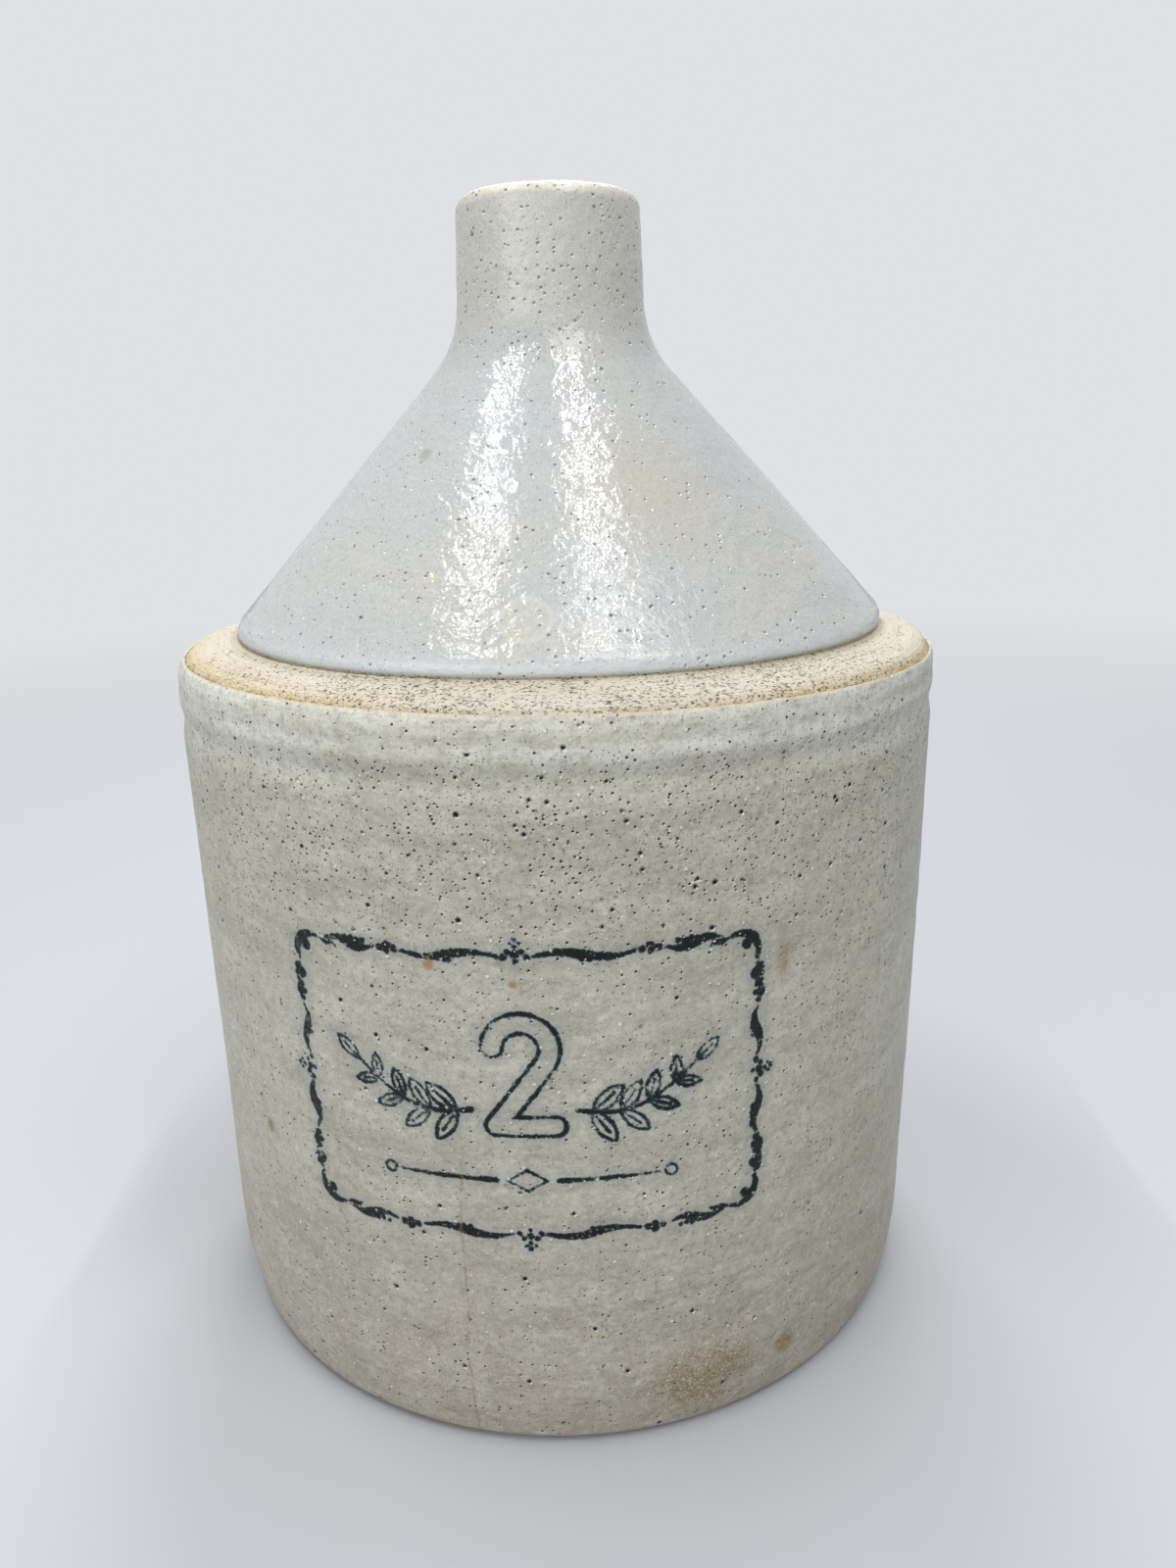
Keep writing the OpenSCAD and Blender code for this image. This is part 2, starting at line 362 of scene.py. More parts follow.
# %% [markdown]
# Every round part of the jug was turned, and so is its mesh. A plane is merged
# to one point, the point is extruded along half of the outline, and spin takes
# that line once round the axis. The seam and the poles are merged, and then the
# normals are made to point outwards.
# A spun shape is too perfect, though. Wet clay leaves the wheel a little out of
# round, and the wall keeps the rings of the potter's fingers. Those are added as
# a few slow waves whose count round the jug is whole, so that no seam shows.

# %% Outlines of turned pieces
def arc(radius, height, r, start, end, step=0.0):
    """Points of an arc about a centre, from one angle to another in degrees."""
    length = abs(math.radians(end - start)) * r
    count = max(3, math.ceil(length / step)) if step else max(3, math.ceil(abs(end - start) / 7.5))
    angles = np.radians(np.linspace(start, end, count + 1))
    return [(radius + r * math.cos(a), height + r * math.sin(a)) for a in angles]


def fine(points, step):
    """The same outline with no stretch longer than step."""
    made = [points[0]]
    for (r0, h0), (r1, h1) in zip(points, points[1:]):
        count = max(1, math.ceil(math.hypot(r1 - r0, h1 - h0) / step))
        shares = [i / count for i in range(1, count + 1)]
        made += [(r0 + (r1 - r0) * share, h0 + (h1 - h0) * share) for share in shares]
    return made


# %% Spin an outline
def smooth_outside():
    """Points every normal outwards, leaves edit mode and shades smooth."""
    bpy.ops.mesh.select_all(action="SELECT")
    bpy.ops.mesh.normals_make_consistent(inside=False)
    bpy.ops.object.mode_set(mode="OBJECT")
    bpy.ops.object.shade_smooth()


def turned(name, outline, columns):
    """A closed body spun from points of radius and height."""
    bpy.ops.object.select_all(action="DESELECT")
    bpy.ops.mesh.primitive_plane_add(size=MM)
    piece = bpy.context.object
    piece.name = name
    bpy.ops.object.mode_set(mode="EDIT")
    bpy.ops.mesh.select_mode(type="VERT")
    bpy.ops.mesh.merge(type="CENTER")
    bpy.ops.transform.translate(value=(outline[0][0], 0, outline[0][1]))
    for (r0, h0), (r1, h1) in zip(outline, outline[1:]):
        bpy.ops.mesh.extrude_region_move(TRANSFORM_OT_translate={"value": (r1 - r0, 0, h1 - h0)})
    bpy.ops.mesh.select_all(action="SELECT")
    bpy.ops.mesh.spin(steps=columns, angle=2 * math.pi, center=(0, 0, 0), axis=(0, 0, 1))
    bpy.ops.mesh.select_all(action="SELECT")
    bpy.ops.mesh.remove_doubles(threshold=0.01 * MM)
    smooth_outside()
    print(name, "spun from", len(outline), "points:", len(piece.data.polygons), "faces")
    return piece


# %% Read and move the points of a mesh
def read_points(piece):
    flat = np.empty(len(piece.data.vertices) * 3)
    piece.data.vertices.foreach_get("co", flat)
    return flat.reshape(-1, 3)


def write_points(piece, points):
    piece.data.vertices.foreach_set("co", points.ravel())
    piece.data.update()


def round_jug(points):
    """Radius, azimuth from the front and height of each point."""
    radius = np.hypot(points[:, 0], points[:, 1])
    azimuth = np.arctan2(points[:, 0], -points[:, 1])
    return radius, azimuth, points[:, 2]


def measured(piece):
    """The points of a piece, with their radius, azimuth and height."""
    points = read_points(piece)
    return points, *round_jug(points)


def set_radius(points, radius, azimuth):
    points[:, 0] = radius * np.sin(azimuth)
    points[:, 1] = -radius * np.cos(azimuth)


# %% Slow waves of hand-turned clay
fold_azimuth = 0.73
fold_height = 30 * MM
fold_slope = 25 * MM


def waves(azimuth, height, turns, rise, count, seed):
    """A seamless uneven field from about -1 to 1: turns is the most waves
    round the jug, rise the shortest wave upwards in metres."""
    draw = np.random.default_rng(seed)
    total = np.zeros_like(azimuth)
    for _ in range(count):
        around = draw.integers(-turns, turns + 1)
        upward = draw.uniform(0.25, 1.0) * 2 * math.pi / rise
        total += np.sin(around * azimuth + upward * height + draw.uniform(0, 2 * math.pi))
    return total / math.sqrt(count) * 0.7


def pot_unevenness(azimuth, height):
    """How far the wall lies outside its true circle. High up it never does.
    Low down its left stands out a little, since the pot stands slightly askew,
    and a hand left a shallow fold on the right."""
    rings = waves(azimuth, height, 1, 9 * MM, 9, seed=3)
    lumps = waves(azimuth, height, 5, 60 * MM, 12, seed=5)
    low = np.clip((90 * MM - height) / (50 * MM), 0, 1)
    aside = azimuth - fold_azimuth
    over = height - fold_height - aside * fold_slope
    fold = np.exp(-(aside / 0.17) ** 2 - (over / (7 * MM)) ** 2)
    inwards = 0.15 + 0.07 * rings + 0.12 * lumps + 0.5 * low * np.sin(azimuth) + 0.7 * fold
    return -np.clip(inwards, -0.4 * low, 1) * MM


# %% [markdown]
# The wall's glaze is a coat of its own: 0.8 mm thick, rolled over the edge of the
# ledge, and wiped off the foot so that the jug doesn't stick to the kiln shelf.
# The printed frame needs thin sharp lines. So the front of the coat is
# subdivided much finer than the rest, and each point there will carry its
# distance from the nearest printed line. The coat's upper front isn't level: it
# stands highest at the left of the print and lowest behind, at the right.

# %% Outline of the wall's glaze
wall_step = 2.4 * MM
wall_columns = 288


def foot_outline(depth):
    """Foot of the pot at a depth under the finished surface."""
    turn_out = math.degrees(foot_sweep_turn)
    start = -math.degrees(math.asin(1 - bare_foot / foot_edge))
    low = arc(foot_edge_radius - depth, foot_edge, foot_edge, start, -turn_out)
    high = arc(foot_radius - foot_sweep - depth, foot_top, foot_sweep, -turn_out, 0)
    return low + high[1:]


def rolled_edge(depth, start, stop, step=MM):
    """Edge of the ledge: an arc that is drawn out downwards. Its angles are
    degrees, from 0 at the wall to 90 at the top."""
    edge = arc(edge_radius, 0, ledge_edge - depth, start, stop, step)
    return [(r, edge_height + h * edge_tall) for r, h in edge]


def side_outline(depth, stop):
    """Wall above the foot: the groove, the band over it, which is slightly
    hollow, and the rolled edge."""
    heights = np.linspace(groove_low, edge_height, 27)
    straight = [(pot_radius - depth, height) for height in heights[:-1]]
    points = np.array(straight + rolled_edge(depth, 0, stop))
    rises = points[:, 1] - groove_height
    turns = np.clip(rises / groove_half, -1, 1) * math.pi
    points[:, 0] -= groove_depth * 0.45 * (1 + np.cos(turns))
    points[:, 0] -= hollow_depth * np.exp(-((rises - hollow_rise) / hollow_half) ** 2)
    return [tuple(point) for point in points]


outside = fine(foot_outline(0.0) + side_outline(0.0, glaze_stop_angle), wall_step)
inside = foot_outline(glaze) + side_outline(glaze, glaze_stop_angle)
wall = turned("pot_wall_glaze", outside + inside[::-1] + [outside[0]], wall_columns)

# %% [markdown]
# The printed frame is drawn on the unrolled wall, across and up from its middle.
# Its four quarters are alike, so one is drawn and the distances are mirrored.
# A stroke is a row of round dabs whose size swells and thins, as a scroll does.
# An outline is the line at a fixed distance from a shape, so a leaf or a numeral
# is first a solid shape and then only its edge is inked.

# %% Where the frame is printed
print_azimuth = math.radians(-4.6)
print_height = 109.6 * MM
print_tilt = math.radians(0.7)
frame_half_width = 61.2 * MM
frame_half_height = 39 * MM
print_margin = 6.6 * MM


def unrolled(points):
    """Places on the wall, across and up from the middle of the print."""
    _, azimuth, height = round_jug(points)
    across = (azimuth - print_azimuth) * pot_radius
    up = height - print_height
    cos, sin = math.cos(print_tilt), math.sin(print_tilt)
    return across * cos + up * sin, up * cos - across * sin


# %% Subdivide the front of the glaze
def wall_radius(height):
    """Radius of the straight wall at a height above the foot."""
    return foot_radius + wall_draft * (height - foot_top) / (groove_low - foot_top)


def under_print(points):
    """Which places lie on the outside of the glaze, in and near the print."""
    radius, _, height = round_jug(points)
    across, up = unrolled(points)
    near_across = abs(across) < frame_half_width + print_margin
    near_up = abs(up) < frame_half_height + print_margin
    return near_across & near_up & (radius > wall_radius(height) - glaze / 2)


middles = np.empty(len(wall.data.polygons) * 3)
wall.data.polygons.foreach_get("center", middles)
printed = under_print(middles.reshape(-1, 3))
bpy.ops.object.mode_set(mode="EDIT")
bpy.ops.mesh.select_mode(type="FACE")
bpy.ops.mesh.select_all(action="DESELECT")
bpy.ops.object.mode_set(mode="OBJECT")
wall.data.polygons.foreach_set("select", printed)
bpy.ops.object.mode_set(mode="EDIT")
bpy.ops.mesh.subdivide(number_cuts=4)
bpy.ops.object.mode_set(mode="OBJECT")
print("glaze faces after subdividing the front:", len(wall.data.polygons))

# %% Bring the glaze to its uneven round
high_azimuth = math.radians(-50)

points, radius, azimuth, height = measured(wall)
across, rise = radius - edge_radius, (height - edge_height) / edge_tall
on_edge = (rise > 0) & (across > 0)
front_share = 0.78 + 0.22 * np.cos(azimuth - high_azimuth)
low_front = front_share * np.arctan2(rise, across)
reach = np.hypot(across, rise)
radius = np.where(on_edge, edge_radius + reach * np.cos(low_front), radius)
height = np.where(on_edge, edge_height + reach * np.sin(low_front) * edge_tall, height)
points[:, 2] = height
carries_print = under_print(points)
radius = np.where(carries_print, wall_radius(height), radius)
set_radius(points, radius + pot_unevenness(azimuth, height), azimuth)
write_points(wall, points)
print("top of the wall's glaze", round(height.max(), 4))

# %% Strokes of the print
def dabs(path, sizes, across, up):
    """Distance of each place from a row of round dabs."""
    nearest = np.full(len(across), 1.0, np.float32)
    for (x, y), size in zip(path, sizes):
        nearest = np.minimum(nearest, np.hypot(across - x, up - y) - size)
    return nearest


def scroll(start, end, bend, thin, thick, step=0.35 * MM):
    """An S-shaped stroke that swells in its middle: its path and its sizes."""
    start, end = np.array(start), np.array(end)
    length = np.hypot(*(end - start))
    along = (end - start) / length
    side = np.array((-along[1], along[0]))
    t = np.linspace(0, 1, max(4, int(length / step)))
    path = start + np.outer(t * length, along) + np.outer(np.sin(2 * np.pi * t) * bend, side)
    return list(path), list(thin + (thick - thin) * np.sin(np.pi * t) ** 1.5)


# %% One side of the frame
def dab(x, y, size):
    """A stroke of one round dab, in millimetres."""
    return [(x * MM, y * MM)], [size * MM]


def moved(strokes, x, y):
    return [([(px + x, py + y) for px, py in path], sizes) for path, sizes in strokes]


def side_strokes(half_length, gap):
    """Dabs of one side, from its middle to near the corner, along +X with
    +Y outwards: two leafy scrolls, and a small shell between them."""
    strokes = []
    reach = half_length - gap
    shell = gap * 0.9 + reach * 0.46
    scrolls = ((4.5 * MM, shell - 4 * MM, 0.9 * MM), (shell + 4 * MM, reach, -0.9 * MM))
    for start, end, bend in scrolls:
        strokes.append(scroll((start, 0), (end, 0), bend, 0.45 * MM, 1.35 * MM))
        middle, outwards = (start + end) / 2, np.sign(bend)
        for k, shift in enumerate((-2.6, -0.9, 0.8, 2.5)):
            lobe = dab((shift + 2) * outwards, -outwards * (1.0 + 0.25 * (k % 2)), 0.95 - 0.1 * k)
            strokes += moved([lobe], middle, 0)
    shells = ((-2.0, 0.2, 1.0), (0.0, 0.9, 1.3), (2.0, 0.2, 1.0), (0, -0.6, 0.9))
    return strokes + moved([dab(*place) for place in shells], shell, 0)


def finial():
    """Dabs of half the ornament in the middle of a side, pointing to +Y."""
    places = ((0, 4.4, 0.7), (1.1, 3.5, 0.5), (0, 2.6, 0.6), (0, 0.6, 1.1),
              (1.7, 1.2, 0.8), (2.9, -0.2, 0.9), (0, -1.2, 0.7))
    return [dab(*place) for place in places]


def corner(width, height, curl=5.5 * MM):
    """The curl that joins two sides, with its ball inside, in the upper right."""
    steps = 26
    x, y = width - curl, height - curl
    angles = np.radians(np.linspace(-20, 110, steps))
    path = [(x + curl * math.cos(a), y + curl * math.sin(a)) for a in angles]
    sizes = list((0.6 + 0.65 * np.sin(np.linspace(0, math.pi, steps))) * MM)
    ball = ([(width - curl * 0.6, height - curl * 0.6)], [1.5 * MM])
    start = (width - curl * 1.5, height - 0.4 * MM)
    end = (width - curl * 2.4, height - 1.6 * MM)
    return [(path, sizes), ball, scroll(start, end, 0.3 * MM, 0.4 * MM, 0.9 * MM)]


# %% One quarter of the frame
def swapped(strokes):
    return [([(y, x) for x, y in path], sizes) for path, sizes in strokes]


def quarter_strokes(half_width, half_height):
    """Every stroke in the upper right quarter of the scrolled frame."""
    level = moved(side_strokes(half_width, 10 * MM) + finial(), 0, half_height)
    upright = moved(side_strokes(half_height, 9 * MM) + finial(), 0, half_width)
    return level + swapped(upright) + corner(half_width, half_height)


# %% The figure and the sprigs inside the frame
line_half = 0.5 * MM
line_dabs = 60


def two(across, up, x, y, tall, stem):
    """Outline of an open numeral two, from a thick stroke along its middle."""
    bowl = tall * 0.21
    top = y + tall / 2 - stem - bowl
    angles = np.radians(np.linspace(175, -38, 40))
    path = [(x + bowl * math.cos(a), top + bowl * math.sin(a)) for a in angles]
    low = (x - bowl, y - tall / 2 + stem)
    right = (x + bowl * 1.1, y - tall / 2 + stem)
    for start, end in ((path[-1], low), (low, right)):
        path += [tuple(p) for p in np.linspace(start, end, 50)]
    return abs(dabs(path, [stem] * len(path), across, up)) - line_half


def leaf(across, up, root, angle, long, wide):
    """Outline and rib of a pointed leaf."""
    way = (math.cos(angle), math.sin(angle))
    x = (across - root[0]) * way[0] + (up - root[1]) * way[1] - long / 2
    y = (up - root[1]) * way[0] - (across - root[0]) * way[1]
    bow = (long ** 2 / 4 + wide ** 2 / 4) / wide
    shape = np.hypot(x, abs(y) + bow - wide / 2) - bow
    rib = np.maximum(abs(y) - line_half * 0.7, abs(x + long * 0.08) - long * 0.32)
    return np.minimum(abs(shape) - line_half * 0.8, rib)


def sprig(across, up):
    """A curved stem with leaves in pairs, growing away from the numeral."""
    start, end = np.array((13.5, -3.0)) * MM, np.array((44.0, 7.0)) * MM
    t = np.linspace(0, 1, line_dabs)
    stem = np.outer(1 - t, start) + np.outer(t, end)
    stem[:, 1] -= np.sin(np.pi * t) * 5 * MM
    inked = dabs(stem, (0.75 - 0.3 * t) * MM, across, up)
    for k, share in enumerate((0.12, 0.36, 0.6, 0.82)):
        root = int(share * (line_dabs - 1))
        heading = math.atan2(*(stem[root + 3] - stem[root])[::-1])
        long = (10.5 - 1.2 * k) * MM
        for angle in (heading + 0.85, heading - 0.85):
            inked = np.minimum(inked, leaf(across, up, stem[root], angle, long, long * 0.4))
    heading = math.atan2(*(stem[-1] - stem[-4])[::-1])
    return np.minimum(inked, leaf(across, up, stem[-1], heading, 8 * MM, 3.4 * MM))


# %% The rule under the figure
def rule(across, up, y):
    """A lozenge between two tapering lines, each with a small ring at its end."""
    lozenge = (across * 0.6 + abs(up - y)) / 1.17 - 2.6 * MM
    ring = np.hypot(across - 37 * MM, up - y) - 1.5 * MM
    t = np.linspace(0, 1, line_dabs)
    path = [((8 + 26 * share) * MM, y) for share in t]
    line = dabs(path, (0.75 - 0.45 * t) * MM, across, up)
    return np.minimum(line, np.minimum(abs(lozenge), abs(ring)) - line_half * 0.8)


# %% Store the distance from the print on the glaze
no_ink = 10 * MM

points = read_points(wall)
across, up = [place[carries_print].astype(np.float32) for place in unrolled(points)]
aside = abs(across)
shapes = [two(across, up, 0.0, 7 * MM, 34 * MM, 2.7 * MM)]
shapes += [sprig(aside, up), rule(aside, up, -23 * MM)]
for path, sizes in quarter_strokes(frame_half_width, frame_half_height):
    shapes.append(dabs(path, sizes, aside, abs(up)))

distance = np.full(len(points), no_ink, np.float32)
distance[carries_print] = np.minimum(np.min(shapes, axis=0), no_ink)
wall.data.attributes.new("ink_distance", "FLOAT", "POINT").data.foreach_set("value", distance)
print("points that carry the print:", int(carries_print.sum()))

# %% [markdown]
# The clay pot under the glaze shows in two places: the bare ledge at the top and
# the ring on which the jug stands. The ledge was cut with a rib while the wheel
# turned, so it has fine rings, and these are in the mesh. The rows of points are
# close together there and far apart where other pieces hide the clay.

# %% Outline of the clay pot
ledge_rows = 0.26 * MM
clay_columns = 360
throat_edge = ledge_thickness * 0.33
slip_back = cone_radius - glaze - 1.6 * MM
slip_gap = 1 * MM
seat_out = cone_radius + 0.6 * MM
edge_rise = (seat_height - edge_height) / edge_tall
edge_run = edge_radius - seat_out
edge_reach = math.hypot(edge_run, edge_rise)
ledge_slope = math.atan2(edge_rise, edge_run) - math.asin((ledge_edge - glaze) / edge_reach)


def pot_inside(depth):
    """Inside of the pot, from the middle of the floor up to the throat."""
    low = foot_radius - glaze - clay_wall
    top = pot_radius - glaze - clay_wall
    turn_in = 10 * MM
    made = [(0.0, floor_thickness + depth)]
    made += arc(low - floor_corner, floor_thickness + floor_corner, floor_corner - depth, -90, 0)
    made += arc(top - turn_in, under_ledge - turn_in, turn_in - depth, 0, 90)
    turn_up = (throat_radius + throat_edge, under_ledge + throat_edge, throat_edge + depth)
    return made + arc(*turn_up, -90, -180)


foot_ring = arc(foot_edge_radius - glaze, foot_edge, foot_edge, -90, -46)
ledge = rolled_edge(glaze, bare_start_angle, 90 - math.degrees(ledge_slope), ledge_rows)
ledge = fine(ledge + [(seat_out, seat_height), (slip_back, seat_height)], ledge_rows)
wall_under_glaze = foot_outline(glaze) + side_outline(glaze, bare_start_angle)
seat = [(slip_back, seat_height - slip_gap), (throat_radius, seat_height - slip_gap)]
base = fine([(0.0, 0.0), (foot_edge_radius - glaze, 0.0)], 4 * MM)
clay_outside = base + foot_ring[1:] + wall_under_glaze[1:] + ledge[1:]
clay = turned("clay_pot", clay_outside + seat + pot_inside(0.0)[::-1], clay_columns)

# %% Turn the ledge
points, radius, azimuth, height = measured(clay)
radii, heights = [np.array(values) for values in zip(*(foot_ring + wall_under_glaze[1:]))]
reach = np.interp(height, heights, radii)
eased = np.clip((radius - reach + 6 * MM) / (4 * MM), 0, 1)
set_radius(points, radius + pot_unevenness(azimuth, height) * eased, azimuth)
on_ledge = (height > edge_height) & (radius > slip_back)
cuts = waves(azimuth, radius, 1, 1.1 * MM, 14, seed=11) * 0.05 * MM
cuts += waves(azimuth, radius, 2, 4 * MM, 6, seed=12) * 0.06 * MM
sag = waves(azimuth, radius, 3, 400 * MM, 5, seed=13) * 0.16 * MM
fade = np.clip((radius - slip_back) / (3 * MM), 0, 1)
smear = np.exp(-np.clip(radius - cone_radius, 0, 1) / (0.8 * MM)) * 0.5 * MM
points[:, 2] += np.where(on_ledge, (cuts + sag + smear) * fade, 0)
write_points(clay, points)
print("points of the ledge:", int(on_ledge.sum()))

# %% [markdown]
# The cone and the neck carry a thick glossy coat. Its surface is dimpled like the
# skin of an orange, and that breaks the lamps' reflections into small bright
# blobs. The wide dimples are in the mesh, the fine ones in the finish. At its
# foot the glaze gathered in a low bead, just short of the ledge.

# %% Outline of the cone's glaze
cone_rows = 1.25 * MM
neck_rows = 1.6 * MM
cone_columns = 480
glaze_foot = coat_low.z + 0.4 * MM


def cone_outline(depth, step):
    """Cone, sweep, neck and lip, from the foot to the inner edge of the lip."""
    foot_middle = cone_low - cone_edge * half_turn
    foot = arc(cone_radius - cone_edge, foot_middle, cone_edge - depth, 0, cone_turn)
    sweep = (neck_radius + sweep_radius, sweep_height, sweep_radius + depth)
    sweep = arc(*sweep, 180 + cone_turn, 180, step)
    lip = arc(lip_radius - lip_edge, jug_height - lip_edge, lip_edge - depth, 0, 90)
    mouth = arc(mouth_radius + mouth_edge, jug_height - mouth_edge, mouth_edge - depth, 90, 180)
    return foot + sweep + lip + mouth


skin = fine([(cone_radius, glaze_foot)] + cone_outline(0.0, neck_rows), cone_rows)
back = [(cone_radius - glaze, glaze_foot)] + cone_outline(glaze, 0.0)
shoulder = turned("shoulder_coat", skin + back[::-1] + [skin[0]], cone_columns)

# %% Off the middle
cone_shift = 1.2 * MM
cone_lean = 0.0025


def off_middle(radius, height):
    """How far the outside of the shoulder stands to the right: it was put on
    the pot by hand. At the mouth this fades to nothing."""
    outwards = np.clip((radius - 15.5 * MM) / (7 * MM), 0, 1)
    return (cone_shift - cone_lean * (height - seat_height)) * outwards


# %% Dimple the cone
points, radius, azimuth, height = measured(shoulder)
lean_out = np.clip((radius - neck_radius) / (6 * MM), 0, 1)
bead = np.exp(-((height - glaze_foot - 1.2 * MM) / (1.6 * MM)) ** 2) * 0.15 * MM
bead *= radius > cone_radius - 2 * MM
uneven = waves(azimuth, height, 4, 45 * MM, 9, seed=21) * 0.18 * MM
throw_rings = waves(azimuth, height, 1, 7 * MM, 8, seed=22) * 0.05 * MM
dents = waves(azimuth, height, 34, 9 * MM, 60, seed=23) * 0.05 * MM
top_fade = np.clip((jug_height - height) / (8 * MM), 0, 1)
push = (uneven + throw_rings + dents * lean_out + bead) * top_fade
on_cone = radius > neck_radius + 2 * MM
set_radius(points, radius + push * np.where(on_cone, math.cos(cone_angle), 1.0), azimuth)
points[:, 2] += push * np.where(on_cone, math.sin(cone_angle), 0.0) * lean_out
points[:, 0] += off_middle(radius, height)
write_points(shoulder, points)
print("the cone's surface moves by up to", round(abs(push).max() / MM, 2), "mm")

# %% Turn the clay under it
inner_sweep = 13 * MM
hidden_columns = 120
clay_foot = cone_radius - 0.2 * MM

bore_low = mouth_low_radius + lining
inner_turn = cone_height(bore_low, cone_depth) + inner_sweep * half_turn
clay_back = [(clay_foot, seat_height), (clay_foot, glaze_foot)] + cone_outline(glaze, 0.0)
clay_back.append((mouth_radius + lining, jug_height - mouth_edge))
throat_top = cone_height(throat_radius, cone_depth)
clay_front = [(throat_radius, seat_height), (throat_radius, throat_top)]
clay_front += arc(bore_low + inner_sweep, inner_turn, inner_sweep, 180 + cone_turn, 180)
shoulder_outline = clay_front + clay_back[::-1] + [clay_front[0]]
shoulder_clay = turned("shoulder_clay", shoulder_outline, hidden_columns)
points, radius, azimuth, height = measured(shoulder_clay)
heights, radii = [np.array(values) for values in zip(*sorted((h, r) for r, h in clay_back))]
outside = radius > np.interp(height, heights, radii) - 2 * MM
points[:, 0] += off_middle(radius, height) * outside
write_points(shoulder_clay, points)

# %% [markdown]
# The inside was glazed by pouring brown slip in and out again. It is a thin coat
# from the floor to the lip, turned in the same way, and only its top shows when
# the cork is out.

# %% Turn the lining
bead_half = 2 * MM
bead_width = 1 * MM
bead_radius = (bead_half ** 2 + bead_width ** 2) / (2 * bead_width)
lining_columns = 192


def lining_outline(depth):
    """The pot's inside, the bead of slip, the cone's inside and the mouth."""
    half = math.degrees(math.acos((bead_radius - bead_width + depth) / (bead_radius + depth)))
    bead_centre = (throat_radius - bead_width + bead_radius, seat_height - slip_gap / 2)
    made = pot_inside(depth) + arc(*bead_centre, bead_radius + depth, 180 + half, 180 - half)
    low = throat_radius - depth
    made.append((low, cone_height(low, cone_depth + depth / math.cos(cone_angle))))
    made += arc(bore_low + inner_sweep, inner_turn, inner_sweep + depth, 180 + cone_turn, 180)
    return made + [(mouth_radius + lining - depth, jug_height - mouth_edge)]


inner = turned("lining_coat", lining_outline(0.0) + lining_outline(lining)[::-1], lining_columns)

# %% [markdown]
# The handle is a strap of clay that was pulled, bent and pressed on while wet.
# It starts as a disc, and each extrusion adds one ring of points. The rings are
# then laid along the bow as flat sections. The two ends flare where the potter's
# thumb smeared them on, and two shallow grooves run along the strap where the
# fingers drew it out.

# %% The bow of the handle
strap_width = 29 * MM
strap_thickness = 10 * MM
strap_below_lip = 16 * MM
strap_land = 62 * MM
strap_out = 42 * MM

bow_start = np.array((neck_radius * 0.5, jug_height - strap_below_lip))
sink = 0.6 * strap_thickness * np.array((math.cos(cone_angle), math.sin(cone_angle)))
bow_end = np.array((strap_land, cone_height(strap_land))) - sink
bow_tall = bow_start[1] - bow_end[1]
corner_low = np.array((neck_radius, bow_end[1]))
guide_high = corner_low + np.array((strap_out * 0.86, bow_tall * 1.2))
guide_low = corner_low + np.array((strap_out * 1.26, bow_tall * 0.62))


def bow(t):
    """Place on the middle line of the strap: out from the axis, and up."""
    u = 1 - t
    guided = guide_high * 3 * u * u * t + guide_low * 3 * u * t * t
    return bow_start * u ** 3 + guided + bow_end * t ** 3


def bow_way(t):
    """Direction of that line."""
    u = 1 - t
    first, second, third = guide_high - bow_start, guide_low - guide_high, bow_end - guide_low
    way = first * u * u + second * 2 * u * t + third * t * t
    return way / np.hypot(*way)


# %% Draw out the strap
strap_sides = 64
strap_rings = 110
strap_square = 0.66
strap_shift = 1 * MM


def squared(share):
    """A sine or cosine, moved so that a round section becomes squarer."""
    return np.sign(share) * abs(share) ** strap_square


def strap_section(t):
    """Points of one section, with the squared sides, flare and grooves."""
    middle, way = bow(t), bow_way(t)
    flare = (1 - t) ** 6 + t ** 6
    grow = 1 + 0.22 * flare
    angles = np.linspace(0, 2 * math.pi, strap_sides, endpoint=False)
    share = squared(np.cos(angles))
    side = strap_width / 2 * grow * share
    out = strap_thickness / 2 * grow * squared(np.sin(angles))
    groove = np.exp(-((abs(share) - 0.42) / 0.16) ** 2) * (1 - flare)
    out -= np.sign(out) * groove * np.where(np.sin(angles) > 0, 0.75, 0.3) * MM
    return np.column_stack((side, middle[0] - way[1] * out, middle[1] + way[0] * out))


# %% Extrude the strap along its bow
bpy.ops.object.select_all(action="DESELECT")
bpy.ops.mesh.primitive_circle_add(vertices=strap_sides, radius=strap_width / 2, fill_type="NGON")
strap = bpy.context.object
strap.name = "handle"
bpy.ops.object.mode_set(mode="EDIT")
for _ in range(strap_rings):
    bpy.ops.mesh.extrude_region_move(TRANSFORM_OT_translate={"value": (0, 0, MM)})
bpy.ops.object.mode_set(mode="OBJECT")

points = read_points(strap)
rings = np.round(points[:, 2] / MM).astype(int)
for ring in range(strap_rings + 1):
    members = np.flatnonzero(rings == ring)
    turn_of = np.arctan2(points[members, 1], points[members, 0])
    order = members[np.argsort(np.mod(turn_of + 1e-4, 2 * math.pi))]
    points[order] = strap_section(ring / strap_rings)
points[:, 1] += waves(points[:, 0] * 60, points[:, 2], 2, 16 * MM, 10, seed=31) * 0.16 * MM
points[:, 0] += strap_shift
write_points(strap, points)
bpy.ops.object.mode_set(mode="EDIT")
smooth_outside()
print("handle faces:", len(strap.data.polygons))

# %% [markdown]
# The cork is cut from bark, so it has dark pores that run across it, and its
# edges have crumbled a little from years of pulling.

# %% Turn the cork
cork_columns = 128
bevel = 0.8 * MM

